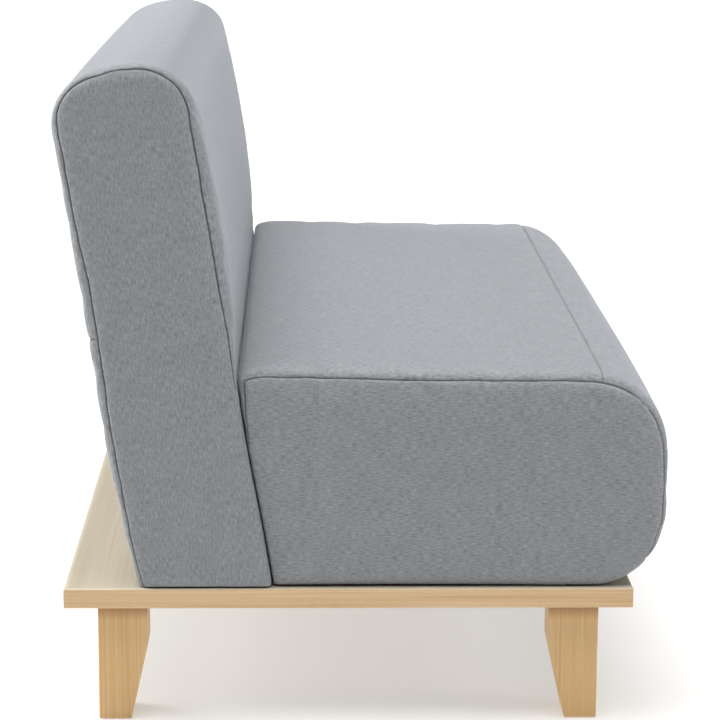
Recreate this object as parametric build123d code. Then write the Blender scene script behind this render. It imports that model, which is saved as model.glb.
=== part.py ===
from build123d import *
import os
from math import asin, cos, pi, radians, sin

# A compact armless sofa: a seat cushion and a leaning back cushion, bolted to a flat wooden deck
# on four tapered legs. Millimetres, +Z up, +X along the sofa's length, and it faces -Y.
# Everything is modelled from the deck's rear edge (Y = 0, forwards is -Y) and the floor (Z = 0).
# At the end the pieces move together, so that the origin is the middle of the footprint.

# ---------------------------------------------------------------- driving dimensions

# Deck: a veneered board with a solid strip round its edge
deck_length = 1200
deck_depth = 700
deck_thickness = 25
lipping_width = 5
lipping_round = 2

# Legs: square at the top, then the side that faces the middle of the sofa tapers in
underside_height = 150        # floor to the deck's underside
leg_size = 61
leg_foot_depth = 40
leg_straight_height = 55      # how far the square part reaches down
leg_edge_round = 1.5
leg_end_inset = 20            # from the deck's ends
leg_edge_inset = 40           # from the deck's front and rear edges
foot_pad_radius = 14
foot_pad_height = 3
foot_pad_recess = 2           # how much of it sits in the leg

# Leg fixings
leg_bolt_radius = 4
leg_bolt_in_leg = 50
leg_bolt_in_deck = 16
leg_dowel_radius = 5
leg_dowel_in_leg = 20
leg_dowel_in_deck = 14
leg_fixing_spacing = 17       # from a leg's bolt to its dowel

# Bolts and threaded sleeves that hold the seat and the back to the deck
bolt_radius = 4
bolt_head_radius = 8.5
bolt_head_height = 4
bolt_in_frame = 24
insert_radius = 6
insert_height = 20
bolt_hole_clearance = 0.6
snug = 0.1                    # round a dowel, insert, screw or thread
small_edge = 1                # chamfer on a leg's foot and a bolt's head
hole_spare = 1                # how much deeper a hole is than what sits in it

# Soft layers, from the outside in
cloth = 3                     # woven cover with its bonded backing
wadding = 12
layer_gap = 0.5
rest_gap = 0.3                # between a cushion and the deck
seam_gap = 0.6                # between two sewn panels
roll_width = 15               # how far in from an end seam the cloth rolls over
end_lift = 2.5                # how far the end seams stand off the deck
end_dome = 6                  # how far an end panel swells past its seam
end_dome_reach = 31           # how far in from the seam it keeps rising
end_rim = 3.4                 # thickness of an end panel at its seam
end_sink = 0.8                # how far that rim sits below the edge round it

# Back cushion, measured up the lean from its rear foot, and forwards from its rear side
back_lean = 9.5               # degrees
back_foot_inset = 97          # from the deck's rear edge to the cushion's rear foot
back_end_inset = 4            # from the deck's ends to the end seams
back_rise = 629
back_thickness = 157
back_corner_radius = 47
back_corner_roll = 10         # how much rounder the corners are past the end seam
back_top_crown = 6
back_rear_roll = 7            # how far the upper rear stands proud of the end seam
back_seam_roll = 10           # and at the line sewn across the rear
back_rear_belly = 12.5        # and half way below that line
back_foot_roll = 5.5          # and at the deck
back_gap_roll = 2             # how far the end seam keeps back from the seat
back_front_roll = 8.5
back_front_belly = 4
back_top_roll = 1.5
back_middle_crown = 3         # extra swelling half way along
back_rear_seam_rise = 310     # the sewn line across the rear, above the deck

# Seat cushion
seat_thickness = 270
seat_overhang = 40.5          # how far it reaches in front of the deck
seat_end_inset = 10           # from the deck's ends to the end seams
seat_top_radius = 100
seat_foot_radius = 92
seat_rear_radius = 14
seat_top_roll = 9             # how far the top stands proud of the end seam
seat_front_roll = 5
seat_rear_roll = 4
seat_crown = 4                # extra swelling half way along
seat_to_back = 0.6            # between the two cushions
seat_seam_inset = 78.5        # the sewn line across the seat, behind its front
seat_low_seam_rise = 33       # the sewn line under the front, above the deck

# Wooden frames inside
seat_frame_end_cover = 45     # padding from the frame's ends to the cushion's end seams
seat_frame_rear_cover = 35    # and behind the frame
seat_frame_front_cover = 92.5
seat_rail_height = 90
rail_width = 24
seat_middle_drop = 25         # how far the middle rail stays below the straps
block_size = 45
back_frame_end_cover = 46
back_frame_rear = 24          # padding behind the frame
back_frame_depth = 76
back_frame_top_cover = 84
back_stile_width = 36
back_bottom_rail = 80
back_top_rail = 60
back_board_thickness = 3
strap_width = 60
strap_thickness = 1.5
strap_inset = 6               # from the ends of the rails that a strap crosses
seat_strap_count = 11
back_strap_count = 4
screw_radius = 2.2
screw_head_radius = 4.2
screw_head_height = 2.6
screw_length = 70
screw_margin = 16             # from a rail's edge
back_bolt_columns = 4
back_bolt_rows = 2
back_bolt_end_margin = 70     # from the frame's ends
back_bolt_edge_margin = 14    # from the frame's front and rear

# ---------------------------------------------------------------- worked-out places

deck_top = underside_height + deck_thickness
lean = radians(back_lean)
far = 4000                    # larger than the whole sofa

seat_height = deck_top + seat_thickness
seat_front = deck_depth + seat_overhang   # in front of the deck's rear edge, as all depths here
seat_half_length = deck_length / 2 - seat_end_inset
back_half_length = deck_length / 2 - back_end_inset
back_rear_seam_height = deck_top + back_rear_seam_rise
seat_low_seam_height = deck_top + seat_low_seam_rise

frame_foot = deck_top + rest_gap + cloth + layer_gap
seat_rail_top = frame_foot + seat_rail_height
seat_frame_half = seat_half_length - seat_frame_end_cover
seat_frame_front = seat_front - seat_frame_front_cover
back_frame_half = back_half_length - back_frame_end_cover
back_frame_top = back_rise - back_frame_top_cover


def lean_point(up, forward):
    """Y and Z of a point given up the back's lean and forwards from its rear side."""
    y = -back_foot_inset + up * sin(lean) - forward * cos(lean)
    z = deck_top + up * cos(lean) + forward * sin(lean)
    return y, z


def lean_rise(forward, height):
    """How far up the lean a point that far forwards reaches the given height."""
    return (height - deck_top - forward * sin(lean)) / cos(lean)


def lean_at(forward, height):
    return lean_point(lean_rise(forward, height), forward)


seat_rear_foot = -lean_at(back_thickness + seat_to_back, deck_top)[0]
seat_frame_rear = seat_rear_foot + seat_frame_rear_cover


def leaning_box(x_low, x_high, up_low, up_high, forward_low, forward_high):
    """A box that leans with the back."""
    size = (x_high - x_low, forward_high - forward_low, up_high - up_low)
    middle = ((x_low + x_high) / 2, -(forward_low + forward_high) / 2, (up_low + up_high) / 2)
    foot = Pos(0, -back_foot_inset, deck_top) * Rot(X=-back_lean)
    return foot * Pos(*middle) * Box(*size)


def block(x_low, x_high, y_low, y_high, z_low, z_high):
    low = Align.MIN
    return Pos(x_low, y_low, z_low) * Box(
        x_high - x_low, y_high - y_low, z_high - z_low, align=(low, low, low)
    )


from_end = (Align.CENTER, Align.CENTER, Align.MIN)


def upright(radius, x, y, z_low, z_high):
    return Pos(x, y, z_low) * Cylinder(radius, z_high - z_low, align=from_end)


# ---------------------------------------------------------------- cushion outlines
# An outline is a closed run of lines and arcs in a plane of constant X. It is a list of steps: two
# points for a line, three for an arc. roll is 0 at an end seam and 1 where the cloth has rolled
# over; crown is 0 at the ends and 1 half way along; inset is how far inside the surface it lies.

bow = 0.3                     # the least rise of an arc that stands for a nearly straight side


def outline_wire(x, steps):
    edges = []
    for step in steps:
        points = [(x, y, z) for y, z in step]
        if len(points) == 2:
            edges.append(Edge.make_line(*points))
        else:
            edges.append(Edge.make_three_point_arc(*points))
    return Wire(edges)


def corner_radius(radius, inset):
    """The radius of a corner some way inside the surface, never quite sharp."""
    return max(radius - inset, radius * 0.15)


def back_outline(roll, crown, inset):
    shift = back_middle_crown * crown
    radius = corner_radius(back_corner_radius + back_corner_roll * roll, inset)
    cut = radius * (1 - cos(radians(45)))
    rear = inset - back_rear_roll * roll
    rear_seam = inset - back_seam_roll * roll
    rear_belly = inset - back_rear_belly * roll - bow
    rear_foot = inset - back_foot_roll * roll
    low_front = back_thickness - inset - back_gap_roll * (1 - roll)
    front = back_thickness - inset + back_front_roll * roll + shift
    front_belly = front + back_front_belly * roll + bow
    top = back_rise - inset + back_top_roll * roll + shift
    shoulder = top - back_top_crown
    foot = deck_top + rest_gap + end_lift * (1 - roll) + inset
    heel = lean_rise(rear_foot, foot)
    toe = lean_rise(low_front, foot)
    seam = lean_rise(rear_seam, back_rear_seam_height)
    waist = lean_rise(low_front, seat_height - seat_rear_radius)
    middle = (rear + front) / 2
    turn = shoulder - radius
    steps = [
        [(heel, rear_foot), (toe, low_front)],
        [(toe, low_front), (waist, low_front)],
        [(waist, low_front), ((waist + turn) / 2, front_belly), (turn, front)],
        [(turn, front), (shoulder - cut, front - cut), (shoulder, front - radius)],
        [(shoulder, front - radius), (top, middle), (shoulder, rear + radius)],
        [(shoulder, rear + radius), (shoulder - cut, rear + cut), (turn, rear)],
        [(turn, rear), (seam, rear_seam)],
        [(seam, rear_seam), ((seam + heel) / 2, rear_belly), (heel, rear_foot)],
    ]
    return [[lean_point(*point) for point in step] for step in steps]


def seat_outline(roll, crown, inset):
    top_radius = corner_radius(seat_top_radius, inset)
    foot_radius = corner_radius(seat_foot_radius, inset)
    rear_radius = corner_radius(seat_rear_radius, inset)
    top = seat_height - seat_top_roll * (1 - roll) - inset
    front = seat_front - seat_front_roll * (1 - roll) + seat_crown * crown / 2 - inset
    foot = deck_top + rest_gap + end_lift * (1 - roll) + inset
    rear = back_thickness + seat_to_back + seat_rear_roll * (1 - roll) + inset
    rear_foot = lean_at(rear, foot)
    rear_top = lean_at(rear, top)
    rear_shoulder = lean_at(rear, top - rear_radius)
    half = cos(radians(45))
    rear_cut = rear_radius * (1 - half)
    foot_turn = -front + foot_radius
    top_turn = -front + top_radius
    top_start = rear_top[0] - rear_radius
    return [
        [rear_foot, (foot_turn, foot)],
        [
            (foot_turn, foot),
            (foot_turn - foot_radius * half, foot + foot_radius * (1 - half)),
            (-front, foot + foot_radius),
        ],
        [(-front, foot + foot_radius), (-front, top - top_radius)],
        [
            (-front, top - top_radius),
            (top_turn - top_radius * half, top - top_radius * (1 - half)),
            (top_turn, top),
        ],
        [
            (top_turn, top),
            ((top_turn + top_start) / 2, top + seat_crown * crown + bow),
            (top_start, top),
        ],
        [
            (top_start, top),
            (lean_at(rear, top - rear_cut)[0] - rear_cut, top - rear_cut),
            rear_shoulder,
        ],
        [rear_shoulder, rear_foot],
    ]


def stations(half_length, reach):
    """X, roll and crown of each section of a cushion that ends at X = -reach and reach."""
    rolled = half_length - roll_width
    places = [
        half_length,
        half_length - roll_width / 3,
        half_length - roll_width * 2 / 3,
        rolled,
        half_length * 0.7,
        half_length * 0.35,
    ]
    places = [reach] + [place for place in places if place < reach - 1]
    made = []
    for x in places + [0] + [-place for place in reversed(places)]:
        roll = 1 - max(0, (abs(x) - rolled) / roll_width) ** 2
        crown = 1 - (x / half_length) ** 2
        made.append((x, roll, crown))
    return made


def cushion_loft(outline, half_length, reach, inset):
    """A crowned cushion form, cut square at X = -reach and reach."""
    sections = [
        outline_wire(x, outline(roll, crown, inset))
        for x, roll, crown in stations(half_length, reach)
    ]
    return Solid.make_loft(sections, ruled=True)


def end_panel(outline, half_length, side):
    """The panel inside an end seam: flat behind, swelling outwards in front."""
    rim = outline_wire(side * (half_length - end_sink), outline(0, 0, cloth + layer_gap))
    plate = extrude(Face(rim), amount=end_rim, dir=(-side, 0, 0))
    swell = [(0, 0), (0.35, 0.05), (0.7, 0.22), (0.92, 0.55), (1, 1)]   # shares of rise and reach
    sections = []
    for rise, share in swell:
        inset = cloth + layer_gap + share * end_dome_reach
        x = side * (half_length - end_sink + rise * (end_dome + end_sink))
        sections.append(outline_wire(x, outline(0, 0, inset)))
    return plate + Solid.make_loft(sections, ruled=True)


def portion(step, start, end):
    """Part of a line or arc, between two shares of its length."""
    if len(step) == 2:
        path = Edge.make_line(*[(0, y, z) for y, z in step])
        shares = (start, end)
    else:
        path = Edge.make_three_point_arc(*[(0, y, z) for y, z in step])
        shares = (start, (start + end) / 2, end)
    return [(path.position_at(share).Y, path.position_at(share).Z) for share in shares]


def layer_wire(x, outer, inner, run):
    """A thin closed section: a run of outer steps, back along the inner ones."""
    out = [portion(outer[index], start, end) for index, start, end in run]
    back = [portion(inner[index], start, end)[::-1] for index, start, end in reversed(run)]
    return outline_wire(x, out + [[out[-1][-1], back[0][0]]] + back + [[back[-1][-1], out[0][0]]])


def sheet_loft(outline, half_length, reach, inset, thickness, run):
    """A soft sheet that follows a run of the outline's steps along the whole cushion."""
    sections = []
    for x, roll, crown in stations(half_length, reach):
        outer = outline(roll, crown, inset)
        inner = outline(roll, crown, inset + thickness)
        sections.append(layer_wire(x, outer, inner, run))
    return Solid.make_loft(sections, ruled=True)


nodes = {}
sides = {"left": -1, "right": 1}   # left is the end at -X

# ---------------------------------------------------------------- places of the fixings

leg_x = deck_length / 2 - leg_end_inset - leg_size / 2
leg_rows = {
    "front": -deck_depth + leg_edge_inset + leg_foot_depth / 2,
    "rear": -leg_edge_inset - leg_foot_depth / 2,
}
leg_fixings = [(side * leg_x, y, side) for y in leg_rows.values() for side in sides.values()]

block_x = seat_frame_half - rail_width - block_size / 2
block_rows = [
    -seat_frame_rear - rail_width - block_size / 2,
    -seat_frame_front + rail_width + block_size / 2,
]
seat_bolt_places = [(side * block_x, y) for y in block_rows for side in sides.values()]


def spread(count, low, high):
    """Evenly spaced places from low to high."""
    if count == 1:
        return [(low + high) / 2]
    return [low + (high - low) * i / (count - 1) for i in range(count)]


back_bolt_xs = spread(
    back_bolt_columns, -back_frame_half + back_bolt_end_margin, back_frame_half - back_bolt_end_margin
)
back_bolt_forwards = spread(
    back_bolt_rows,
    back_frame_rear + back_bolt_edge_margin,
    back_frame_rear + back_frame_depth - back_bolt_edge_margin,
)
back_bolt_height = frame_foot + bolt_in_frame / 2
back_bolt_places = [
    (x, lean_at(forward, back_bolt_height)[0]) for x in back_bolt_xs for forward in back_bolt_forwards
]


def joined(shapes):
    """Separate solids kept as one group."""
    return Compound(children=[solid for shape in shapes for solid in shape.solids()])


def bolts(places):
    made = []
    for x, y in places:
        shank = upright(bolt_radius, x, y, underside_height, frame_foot + bolt_in_frame)
        head = upright(bolt_head_radius, x, y, underside_height - bolt_head_height, underside_height)
        made.append(shank + chamfer(head.faces().sort_by(Axis.Z)[0].edges(), small_edge))
    return joined(made)


def inserts(places):
    made = []
    for x, y in places:
        sleeve = upright(insert_radius, x, y, frame_foot, frame_foot + insert_height)
        made.append(sleeve - upright(bolt_radius + snug, x, y, 0, far))
    return joined(made)


def insert_holes(places):
    """Blind holes in a frame for the sleeves and the bolts' ends."""
    holes = []
    for x, y in places:
        sleeve_top = frame_foot + insert_height + snug
        holes.append(upright(insert_radius + snug, x, y, frame_foot - cloth, sleeve_top))
        bolt_end = frame_foot + bolt_in_frame + hole_spare
        holes.append(upright(bolt_radius + snug, x, y, frame_foot, bolt_end))
    return holes


def bolt_holes(places):
    """Clearance holes through the deck and the cloth under a cushion."""
    radius = bolt_radius + bolt_hole_clearance
    return [upright(radius, x, y, 0, frame_foot + cloth) for x, y in places]


def with_holes(shape, holes):
    for hole in holes:
        shape -= hole
    return shape


# ---------------------------------------------------------------- deck


def make_deck():
    half = deck_length / 2 - lipping_width
    core = block(
        -half, half, -deck_depth + lipping_width, -lipping_width, underside_height, deck_top
    )
    for x, y, side in leg_fixings:
        insert_top = underside_height + leg_bolt_in_deck + snug
        core -= upright(insert_radius + snug, x, y, 0, insert_top)
        dowel_x = x - side * leg_fixing_spacing
        dowel_top = underside_height + leg_dowel_in_deck + snug
        core -= upright(leg_dowel_radius + snug, dowel_x, y, 0, dowel_top)
    nodes["deck_core"] = with_holes(core, bolt_holes(seat_bolt_places + back_bolt_places))

    for name, side in sides.items():
        strip = block(0, lipping_width, -deck_depth, 0, underside_height, deck_top)
        if side < 0:
            strip = Pos(-deck_length / 2, 0, 0) * strip
        else:
            strip = Pos(half, 0, 0) * strip
        outer = strip.faces().sort_by(Axis.X)[-1 if side > 0 else 0]
        strip = fillet(outer.edges().filter_by(Axis.Y), lipping_round)
        nodes[f"deck_lipping_{name}"] = strip
    for name, y in {"front": -deck_depth, "rear": -lipping_width}.items():
        strip = block(-half, half, y, y + lipping_width, underside_height, deck_top)
        outer = strip.faces().sort_by(Axis.Y)[0 if name == "front" else -1]
        nodes[f"deck_lipping_{name}"] = fillet(outer.edges().filter_by(Axis.X), lipping_round)


# ---------------------------------------------------------------- legs


def make_legs():
    pads, leg_bolts, leg_inserts, dowels = [], [], [], []
    for row, middle in leg_rows.items():
        inward = 1 if row == "front" else -1
        outer = middle - inward * leg_foot_depth / 2
        foot = foot_pad_height - foot_pad_recess
        profile = Polyline(
            (outer, underside_height),
            (outer, foot),
            (outer + inward * leg_foot_depth, foot),
            (outer + inward * leg_size, underside_height - leg_straight_height),
            (outer + inward * leg_size, underside_height),
            close=True,
        )
        for name, side in sides.items():
            x = side * leg_x
            face = make_face(Plane.YZ.offset(x - leg_size / 2) * profile)
            leg = extrude(face, amount=leg_size, dir=(1, 0, 0))
            corners = [edge for edge in leg.edges() if edge.bounding_box().size.Z > small_edge]
            leg = fillet(corners, leg_edge_round)
            leg = chamfer(leg.faces().sort_by(Axis.Z)[0].edges(), small_edge)
            bolt_foot = underside_height - leg_bolt_in_leg
            leg -= upright(leg_bolt_radius + snug, x, middle, bolt_foot - hole_spare, far)
            dowel_x = x - side * leg_fixing_spacing
            dowel_foot = underside_height - leg_dowel_in_leg
            leg -= upright(leg_dowel_radius + snug, dowel_x, middle, dowel_foot - hole_spare, far)
            leg -= upright(foot_pad_radius + snug, x, middle, 0, foot_pad_height)
            nodes[f"leg_{row}_{name}"] = leg

            pads.append(upright(foot_pad_radius, x, middle, 0, foot_pad_height))
            bolt_top = underside_height + leg_bolt_in_deck
            leg_bolts.append(upright(leg_bolt_radius, x, middle, bolt_foot, bolt_top))
            sleeve = upright(insert_radius, x, middle, underside_height, bolt_top)
            leg_inserts.append(sleeve - upright(leg_bolt_radius + snug, x, middle, 0, far))
            dowel_top = underside_height + leg_dowel_in_deck
            dowels.append(upright(leg_dowel_radius, dowel_x, middle, dowel_foot, dowel_top))
    nodes["foot_pads"] = joined(pads)
    nodes["leg_bolts"] = joined(leg_bolts)
    nodes["leg_inserts"] = joined(leg_inserts)
    nodes["leg_dowels"] = joined(dowels)


# ---------------------------------------------------------------- frames


def screw(x, y, z, side):
    """A countersunk screw that enters a frame's end at (x, y, z) and points to the middle."""
    shank = Cylinder(screw_radius, screw_length, align=from_end)
    head = Cone(screw_head_radius, screw_radius, screw_head_height, align=from_end)
    return Pos(x, y, z) * Rot(Y=-90 * side) * (shank + head)


def screw_hole(x, y, z, side):
    hole = Cylinder(screw_radius + snug, screw_length + hole_spare, align=from_end)
    mouth = Cone(screw_head_radius + snug, screw_radius + snug, screw_head_height, align=from_end)
    return Pos(x, y, z) * Rot(Y=-90 * side) * (hole + mouth)


def make_seat_frame():
    half = seat_frame_half
    inner = half - rail_width
    rear, front = -seat_frame_rear, -seat_frame_front
    rails = {
        "left": block(-half, -inner, front, rear, frame_foot, seat_rail_top),
        "right": block(inner, half, front, rear, frame_foot, seat_rail_top),
        "front": block(-inner, inner, front, front + rail_width, frame_foot, seat_rail_top),
        "rear": block(-inner, inner, rear - rail_width, rear, frame_foot, seat_rail_top),
        "middle": block(
            -rail_width / 2,
            rail_width / 2,
            front + rail_width,
            rear - rail_width,
            frame_foot,
            seat_rail_top - seat_middle_drop,
        ),
    }
    screws, holes = [], []
    for side in sides.values():
        for y in (front + rail_width / 2, rear - rail_width / 2):
            for z in (frame_foot + screw_margin, seat_rail_top - screw_margin):
                screws.append(screw(side * half, y, z, side))
                holes.append(screw_hole(side * half, y, z, side))
    for name, rail in rails.items():
        nodes[f"seat_rail_{name}"] = rail if name == "middle" else with_holes(rail, holes)
    nodes["seat_frame_screws"] = joined(screws)

    corner_blocks = []
    for x, y in seat_bolt_places:
        corner = block(
            x - block_size / 2,
            x + block_size / 2,
            y - block_size / 2,
            y + block_size / 2,
            frame_foot,
            seat_rail_top - seat_middle_drop,
        )
        corner_blocks.append(with_holes(corner, insert_holes([(x, y)])))
    nodes["seat_corner_blocks"] = joined(corner_blocks)
    nodes["seat_bolts"] = bolts(seat_bolt_places)
    nodes["seat_inserts"] = inserts(seat_bolt_places)

    reach = half - strap_inset - strap_width / 2
    straps = [
        block(
            x - strap_width / 2,
            x + strap_width / 2,
            front + strap_inset,
            rear - strap_inset,
            seat_rail_top,
            seat_rail_top + strap_thickness,
        )
        for x in spread(seat_strap_count, -reach, reach)
    ]
    nodes["seat_webbing"] = joined(straps)


def make_back_frame():
    half = back_frame_half
    inner = half - back_stile_width
    rear, front = back_frame_rear, back_frame_rear + back_frame_depth
    low = lean_rise(front, frame_foot) - back_frame_depth
    below_frame = block(-far, far, -far, far, -far, frame_foot)
    rail_top = lean_rise((rear + front) / 2, frame_foot) + back_bottom_rail
    top_rail_low = back_frame_top - back_top_rail
    middle = back_stile_width / 2
    members = {
        "stile_left": leaning_box(-half, -inner, low, back_frame_top, rear, front),
        "stile_right": leaning_box(inner, half, low, back_frame_top, rear, front),
        "stile_middle": leaning_box(-middle, middle, rail_top, top_rail_low, rear, front),
        "rail_bottom": leaning_box(-inner, inner, low, rail_top, rear, front),
        "rail_top": leaning_box(-inner, inner, top_rail_low, back_frame_top, rear, front),
    }
    screws, holes = [], []
    for side in sides.values():
        for up in (rail_top - screw_margin, back_frame_top - back_top_rail / 2):
            for forward in (rear + screw_margin, front - screw_margin):
                y, z = lean_point(up, forward)
                screws.append(screw(side * half, y, z, side))
                holes.append(screw_hole(side * half, y, z, side))
    for name, member in members.items():
        member -= below_frame
        if name != "stile_middle":
            member = with_holes(member, holes)
        if name == "rail_bottom":
            member = with_holes(member, insert_holes(back_bolt_places))
        nodes[f"back_{name}"] = member
    nodes["back_frame_screws"] = joined(screws)
    nodes["back_bolts"] = bolts(back_bolt_places)
    nodes["back_inserts"] = inserts(back_bolt_places)

    board = leaning_box(-half, half, low, back_frame_top, rear - back_board_thickness, rear)
    nodes["back_board"] = board - below_frame
    straps = []
    lowest = rail_top + strap_width
    for up in spread(back_strap_count, lowest, top_rail_low - strap_width / 2):
        straps.append(
            leaning_box(
                -half + strap_inset,
                half - strap_inset,
                up - strap_width / 2,
                up + strap_width / 2,
                front,
                front + strap_thickness,
            )
        )
    nodes["back_webbing"] = joined(straps)


# ---------------------------------------------------------------- cushions


def share_of_arc(radius, distance):
    """How far round a quarter turn a point lies that far past the turn's start."""
    return asin(distance / radius) / (pi / 2)


def padding(cushion, outline, half_length, run, foam_spaces):
    """Wadding along a run of the outline, and the foam pieces glued round the frame inside it."""
    depth = cloth + layer_gap
    reach = half_length - end_sink - end_rim - layer_gap
    nodes[f"{cushion}_wadding"] = sheet_loft(outline, half_length, reach, depth, wadding, run)
    core = cushion_loft(outline, half_length, reach, depth + wadding + layer_gap)
    for place, space in foam_spaces.items():
        nodes[f"{cushion}_foam_{place}"] = core & space


def make_seat_cushion():
    gap = layer_gap
    half_gap = seam_gap / 2
    side = seat_frame_half + gap
    front = -seat_frame_front - gap
    rear = -seat_frame_rear + gap
    top = seat_rail_top + strap_thickness + gap
    foam_spaces = {
        "top": block(-far, far, -far, far, top, far),
        "front": block(-far, far, -far, front, 0, top),
        "rear": block(-far, far, rear, far, 0, top),
        "left": block(-far, -side, front, rear, 0, top),
        "right": block(side, far, front, rear, 0, top),
    }
    # the outline's steps: underside, foot arc, front, top arc, top, rear corner, rear
    foot_start = seat_front - seat_foot_radius
    foot_rise = deck_top + seat_foot_radius - seat_low_seam_height
    low_seam = 1 - share_of_arc(seat_foot_radius, foot_rise)
    top_seam = 1 - share_of_arc(seat_top_radius, seat_top_radius - seat_seam_inset)
    foot_trim = half_gap / (seat_foot_radius * pi / 2)
    top_trim = half_gap / (seat_top_radius * pi / 2)
    corner_trim = seam_gap / foot_start
    runs = {
        "underside": [(0, corner_trim, 1), (1, 0, low_seam - foot_trim)],
        "front": [(1, low_seam + foot_trim, 1), (2, 0, 1), (3, 0, top_seam - top_trim)],
        "top": [(3, top_seam + top_trim, 1), (4, 0, 1), (5, 0, 1), (6, 0, 1)],
    }
    half = seat_half_length
    for name, run in runs.items():
        panel = sheet_loft(seat_outline, half, half, 0, cloth, run)
        if name == "underside":
            panel = with_holes(panel, bolt_holes(seat_bolt_places))
        nodes[f"seat_cover_{name}"] = panel
    inner_radius = seat_foot_radius - cloth - gap - wadding
    frame_turn = share_of_arc(inner_radius, seat_frame_front + gap * 2 - foot_start)
    wrapped = [(1, frame_turn, 1)] + [(index, 0, 1) for index in range(2, 7)]
    padding("seat", seat_outline, half, wrapped, foam_spaces)
    for name, side in sides.items():
        nodes[f"seat_cover_{name}_end"] = end_panel(seat_outline, half, side)


def make_back_cushion():
    gap = layer_gap
    side = back_frame_half + gap
    rear = back_frame_rear - back_board_thickness - gap
    front = back_frame_rear + back_frame_depth + strap_thickness + gap
    top = back_frame_top + gap
    foam_spaces = {
        "front": leaning_box(-far, far, -far, far, front, far),
        "rear": leaning_box(-far, far, -far, far, -far, rear),
        "top": leaning_box(-far, far, top, far, rear, front),
        "left": leaning_box(-far, -side, -far, top, rear, front),
        "right": leaning_box(side, far, -far, top, rear, front),
    }
    # the outline's steps: underside, lower front, upper front, front corner, top, rear corner,
    # upper rear, lower rear
    seam_trim = seam_gap / (back_rear_seam_height - deck_top)
    foot_trim = seam_gap / back_thickness
    runs = {
        "underside": [(0, foot_trim, 1 - foot_trim)],
        "band": [(index, 0, 1) for index in range(1, 7)],
        "rear": [(7, seam_trim, 1)],
    }
    half = back_half_length
    for name, run in runs.items():
        panel = sheet_loft(back_outline, half, half, 0, cloth, run)
        if name == "underside":
            panel = with_holes(panel, bolt_holes(back_bolt_places))
        nodes[f"back_cover_{name}"] = panel
    wrapped = [(index, 0, 1) for index in range(1, 8)]
    padding("back", back_outline, half, wrapped, foam_spaces)
    for name, side in sides.items():
        nodes[f"back_cover_{name}_end"] = end_panel(back_outline, half, side)


# ---------------------------------------------------------------- build and write

make_deck()
make_legs()
make_seat_frame()
make_back_frame()
make_seat_cushion()
make_back_cushion()

boxes = [shape.bounding_box() for shape in nodes.values()]
rearmost = max(box.max.Y for box in boxes)
foremost = min(box.min.Y for box in boxes)
to_origin = Pos(0, -(rearmost + foremost) / 2, 0)

os.makedirs("parts", exist_ok=True)
for name, shape in nodes.items():
    export_step(to_origin * shape, f"parts/{name}.step")
    print(name, len(shape.solids()))
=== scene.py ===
# %% [markdown]
# # An armless sofa
# The sofa is a flat deck of pale wood on four short legs, with a thick seat cushion and a leaning
# back cushion in heathered grey cloth. Its wooden parts come ready-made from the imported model, and
# this script gives them their finish. The two cushions are made here: a foam block has soft edges,
# sewn seams and slightly uneven cloth, and these need a finer mesh than a CAD solid has.

# %% Load the frame
from math import cos, pi, radians, sin

import bmesh
import bpy
from mathutils import Matrix, Vector, noise
from mathutils.kdtree import KDTree


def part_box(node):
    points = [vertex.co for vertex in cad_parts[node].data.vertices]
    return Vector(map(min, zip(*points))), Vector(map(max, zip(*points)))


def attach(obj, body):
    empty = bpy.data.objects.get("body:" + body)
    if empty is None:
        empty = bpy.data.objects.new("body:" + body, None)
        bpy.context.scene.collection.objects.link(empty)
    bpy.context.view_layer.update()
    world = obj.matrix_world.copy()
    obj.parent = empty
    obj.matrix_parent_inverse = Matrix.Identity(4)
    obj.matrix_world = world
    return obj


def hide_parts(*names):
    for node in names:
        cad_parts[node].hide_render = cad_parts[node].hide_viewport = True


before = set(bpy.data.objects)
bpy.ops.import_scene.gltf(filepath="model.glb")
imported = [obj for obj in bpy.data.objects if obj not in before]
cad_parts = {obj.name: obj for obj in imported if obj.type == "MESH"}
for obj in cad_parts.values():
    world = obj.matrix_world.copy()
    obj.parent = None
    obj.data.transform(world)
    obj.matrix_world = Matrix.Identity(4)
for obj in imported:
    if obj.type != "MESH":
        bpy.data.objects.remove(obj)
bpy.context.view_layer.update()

MM = 0.001
deck_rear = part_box("deck_lipping_rear")[1].y
deck_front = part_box("deck_lipping_front")[0].y
deck_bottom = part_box("deck_core")[0].z
deck_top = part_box("deck_core")[1].z
print("deck from y", round(deck_rear, 4), "to", round(deck_front, 4), "top z", round(deck_top, 4))

# %% [markdown]
# ## The camera
# A product photograph is taken from far away with a long lens, so that upright lines stay nearly
# upright. The camera stands beyond the sofa's left end, a little above it, and looks along it. Its
# direction is written as three turns, and a matrix of three unit vectors points the camera.

# %% Camera
CAMERA_PLACE = Vector((-3.606, deck_rear - 0.2898, 1.0996))
CAMERA_YAW = radians(1.373)
CAMERA_PITCH = radians(11.971)
CAMERA_ROLL = radians(0.302)
CAMERA_LENS = 127.65  # mm
SENSOR_WIDTH = 36  # mm

ahead = Vector((
    cos(CAMERA_YAW) * cos(CAMERA_PITCH),
    -sin(CAMERA_YAW) * cos(CAMERA_PITCH),
    -sin(CAMERA_PITCH),
))
level = Vector((-sin(CAMERA_YAW), -cos(CAMERA_YAW), 0))
above = level.cross(ahead)
right = level * cos(CAMERA_ROLL) + above * sin(CAMERA_ROLL)
upward = above * cos(CAMERA_ROLL) - level * sin(CAMERA_ROLL)

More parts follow.
